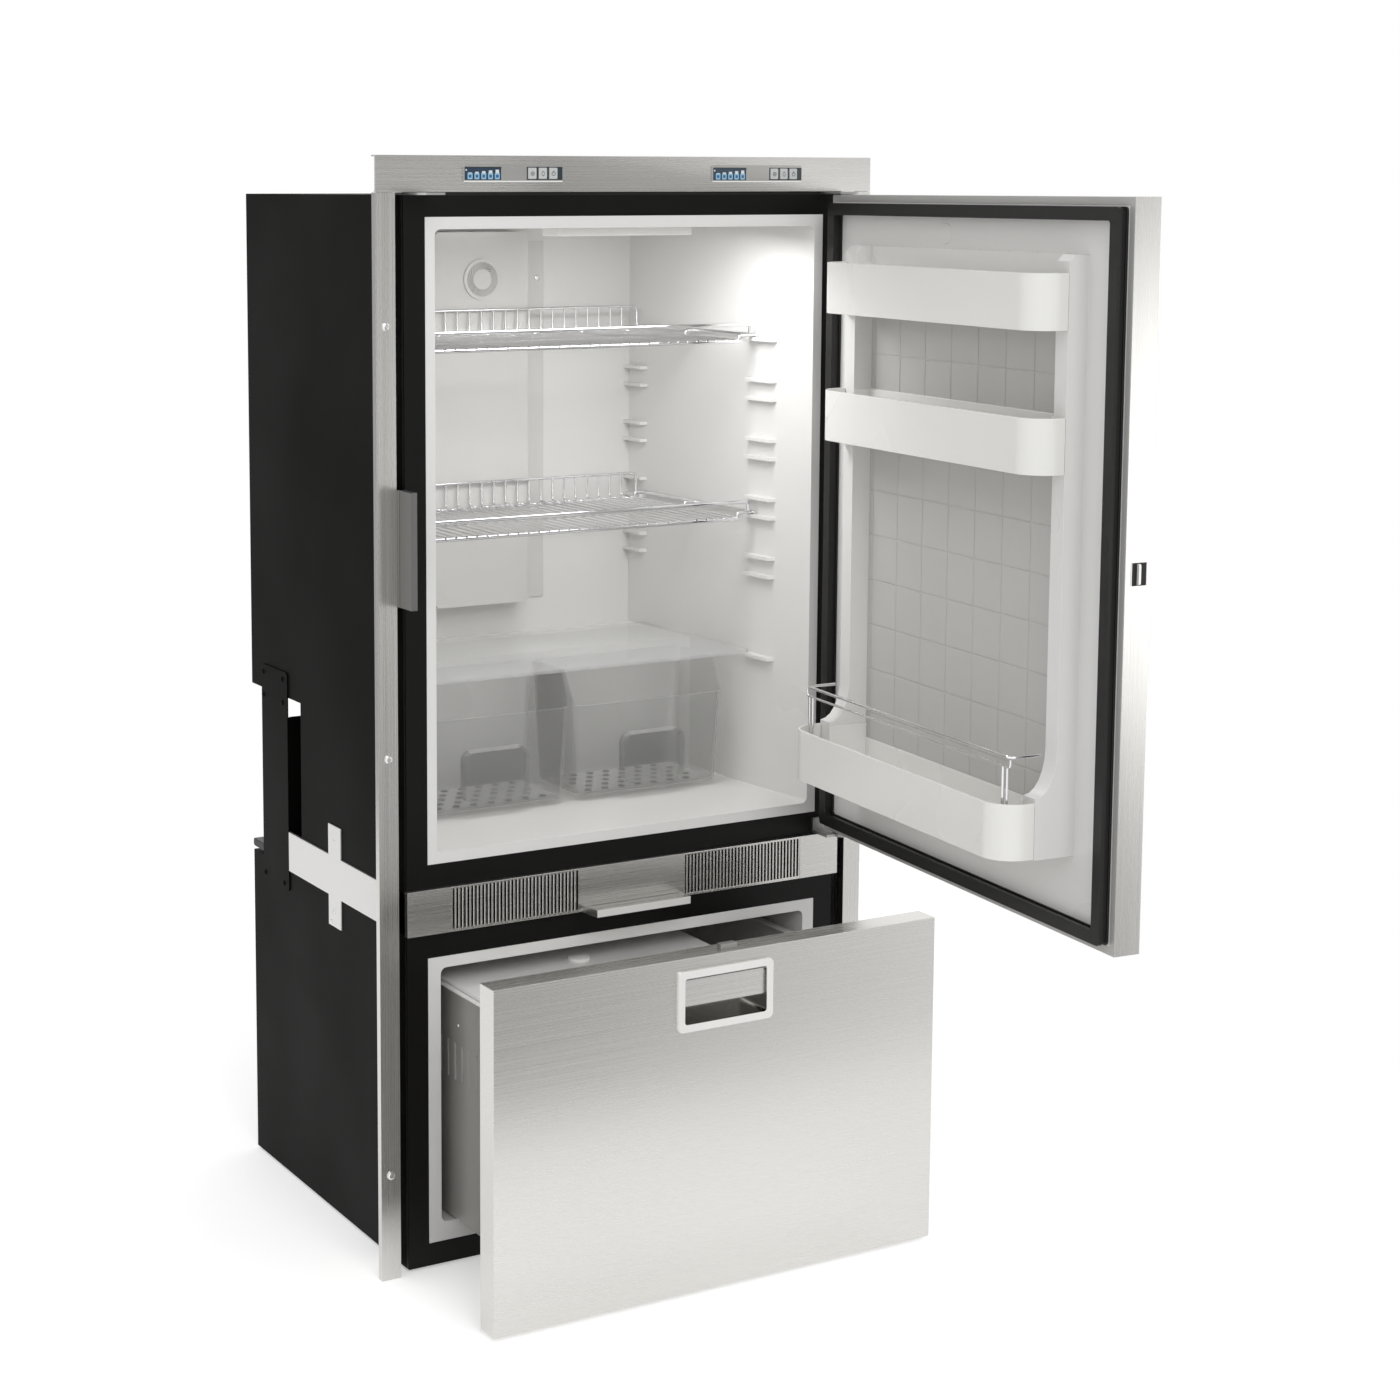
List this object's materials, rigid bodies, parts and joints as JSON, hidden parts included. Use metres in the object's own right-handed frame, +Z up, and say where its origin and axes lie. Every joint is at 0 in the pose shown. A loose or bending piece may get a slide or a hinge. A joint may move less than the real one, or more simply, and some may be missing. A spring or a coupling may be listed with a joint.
{
  "type": "drawer refrigerator",
  "caption": "Built-in refrigerator with a wall flange: a hinged door over a cold compartment with shelves, crispers and bins, above a pull-out drawer compartment.",
  "frame": {"origin": "on the floor, under the middle of the steel cases, on the base plate's lower face", "axes": "+X to the viewer's right, +Y back into the wall, +Z up; the door and drawer face -Y"},
  "size_m": [0.61, 0.9798, 1.181],
  "materials": {
    "case_black": "black powder coat",
    "base_grey": "dark grey paint",
    "foam": "rigid insulating foam",
    "liner_white": "warm white moulded plastic",
    "stainless": "brushed stainless steel",
    "zinc_steel": "bright plated steel",
    "satin_plastic": "silver grey plastic",
    "display_glass": "dark blue window",
    "lamp_white": "milky lamp cover",
    "gasket_black": "black soft seal",
    "fin_aluminium": "plain aluminium",
    "compressor_black": "black enamel",
    "fan_black": "black plastic",
    "chrome_wire": "chromed wire",
    "clear_plastic": "clear plastic",
    "bin_white": "milky white plastic"
  },
  "bodies": {
    "cabinet": {"base_plate": "base_grey", "lower_case": "case_black", "lower_foam": "foam", "lower_liner": "liner_white", "upper_case": "case_black", "upper_foam": "foam", "upper_liner": "liner_white", "front_frames": "case_black", "flange_stiles": "stainless", "flange_top": "stainless", "bracket_plates": "case_black", "gap_covers": "zinc_steel", "vent_grille": "stainless", "catches": "zinc_steel", "control_panels": "satin_plastic", "display_windows": "display_glass", "evaporator_cover": "liner_white", "evaporators": "fin_aluminium", "ceiling_lamp": "lamp_white", "hinge_brackets": "zinc_steel", "runner_rails": "zinc_steel", "machine_tray": "zinc_steel", "compressors": "compressor_black", "condenser": "fin_aluminium", "fan_shroud": "case_black"},
    "door": {"door_skin": "stainless", "door_core": "foam", "door_liner": "liner_white", "door_gasket": "gasket_black", "bin_top": "bin_white", "bin_middle": "bin_white", "bin_bottom": "bin_white", "bottle_rail": "chrome_wire", "door_bezel": "satin_plastic"},
    "door_paddle": {"door_paddle": "satin_plastic"},
    "door_latch": {"door_latch": "zinc_steel"},
    "drawer": {"drawer_skin": "stainless", "drawer_core": "liner_white", "drawer_gasket": "gasket_black", "drawer_box": "stainless", "drawer_bezel": "satin_plastic"},
    "drawer_paddle": {"drawer_paddle": "satin_plastic"},
    "drawer_latch": {"drawer_latch": "zinc_steel"},
    "freezer_cover": {"freezer_cover": "liner_white"},
    "runner_mids": {"runner_mids": "zinc_steel"},
    "wire_shelf_upper": {"wire_shelf_upper": "chrome_wire", "shelf_guard_upper": "chrome_wire"},
    "wire_shelf_lower": {"wire_shelf_lower": "chrome_wire", "shelf_guard_lower": "chrome_wire"},
    "clear_shelf": {"clear_shelf": "clear_plastic"},
    "crisper_left": {"crisper_left": "clear_plastic"},
    "crisper_right": {"crisper_right": "clear_plastic"},
    "cooling_fan": {"cooling_fan": "fan_black"},
    "condenser_fan": {"condenser_fan": "fan_black"},
    "button_left_1": {"button_left_1": "satin_plastic"},
    "button_left_2": {"button_left_2": "satin_plastic"},
    "button_left_3": {"button_left_3": "satin_plastic"},
    "button_right_1": {"button_right_1": "satin_plastic"},
    "button_right_2": {"button_right_2": "satin_plastic"},
    "button_right_3": {"button_right_3": "satin_plastic"}
  },
  "joints": [
    {"name": "door_hinge", "type": "hinge", "parent": "cabinet", "child": "door", "pos_m": [0.262, -0.2372, 0.784], "axis": [0, 0, 1], "range_deg": [-85, 30]},
    {"name": "drawer_slide", "type": "slide", "parent": "cabinet", "child": "drawer", "axis": [0, -1, 0], "range_m": [-0.1518, 0.15]},
    {"name": "runner_slide", "type": "slide", "parent": "cabinet", "child": "runner_mids", "axis": [0, -1, 0], "range_m": [-0.07591, 0.0751]},
    {"name": "door_paddle_pivot", "type": "hinge", "parent": "door", "child": "door_paddle", "pos_m": [0.22375, -0.74319, 0.7815], "axis": [0, 0, -1], "range_deg": [0, 22], "stiffness_Nm_per_rad": 0.15},
    {"name": "door_latch_slide", "type": "slide", "parent": "door", "child": "door_latch", "axis": [0.0872, 0.9962, 0], "range_m": [0, 0.00361]},
    {"name": "drawer_paddle_pivot", "type": "hinge", "parent": "drawer", "child": "drawer_paddle", "pos_m": [0.00065, -0.395, 0.3393], "axis": [-1, 0, 0], "range_deg": [0, 22], "stiffness_Nm_per_rad": 0.15},
    {"name": "drawer_latch_slide", "type": "slide", "parent": "drawer", "child": "drawer_latch", "axis": [0, 0, -1], "range_m": [0, 0.00361]},
    {"name": "freezer_cover_slide", "type": "slide", "parent": "drawer", "child": "freezer_cover", "axis": [1, 0, 0], "range_m": [0, 0.108]},
    {"name": "upper_shelf_slide", "type": "slide", "parent": "cabinet", "child": "wire_shelf_upper", "axis": [0, -1, 0], "range_m": [0, 0.1]},
    {"name": "lower_shelf_slide", "type": "slide", "parent": "cabinet", "child": "wire_shelf_lower", "axis": [0, -1, 0], "range_m": [0, 0.1]},
    {"name": "clear_shelf_slide", "type": "slide", "parent": "cabinet", "child": "clear_shelf", "axis": [0, -1, 0], "range_m": [0, 0.1]},
    {"name": "left_crisper_slide", "type": "slide", "parent": "cabinet", "child": "crisper_left", "axis": [0, -1, 0], "range_m": [0, 0.11]},
    {"name": "right_crisper_slide", "type": "slide", "parent": "cabinet", "child": "crisper_right", "axis": [0, -1, 0], "range_m": [0, 0.11]},
    {"name": "cooling_fan_spin", "type": "hinge", "parent": "cabinet", "child": "cooling_fan", "pos_m": [-0.005, 0.1381, 1.0405], "axis": [0, 1, 0], "continuous": true},
    {"name": "condenser_fan_spin", "type": "hinge", "parent": "cabinet", "child": "condenser_fan", "pos_m": [0, 0.086, 0.4693], "axis": [0, 1, 0], "continuous": true},
    {"name": "button_left_1_press", "type": "slide", "parent": "cabinet", "child": "button_left_1", "axis": [0, 1, 0], "range_m": [0, 0.0012], "stiffness_N_per_m": 400},
    {"name": "button_left_2_press", "type": "slide", "parent": "cabinet", "child": "button_left_2", "axis": [0, 1, 0], "range_m": [0, 0.0012], "stiffness_N_per_m": 400},
    {"name": "button_left_3_press", "type": "slide", "parent": "cabinet", "child": "button_left_3", "axis": [0, 1, 0], "range_m": [0, 0.0012], "stiffness_N_per_m": 400},
    {"name": "button_right_1_press", "type": "slide", "parent": "cabinet", "child": "button_right_1", "axis": [0, 1, 0], "range_m": [0, 0.0012], "stiffness_N_per_m": 400},
    {"name": "button_right_2_press", "type": "slide", "parent": "cabinet", "child": "button_right_2", "axis": [0, 1, 0], "range_m": [0, 0.0012], "stiffness_N_per_m": 400},
    {"name": "button_right_3_press", "type": "slide", "parent": "cabinet", "child": "button_right_3", "axis": [0, 1, 0], "range_m": [0, 0.0012], "stiffness_N_per_m": 400}
  ],
  "couplings": [
    {"joint": "runner_slide", "follows": "drawer_slide", "ratio": 0.5},
    {"joint": "door_latch_slide", "follows": "door_paddle_pivot", "m_per_rad": 0.009376},
    {"joint": "drawer_latch_slide", "follows": "drawer_paddle_pivot", "m_per_rad": 0.009376}
  ]
}
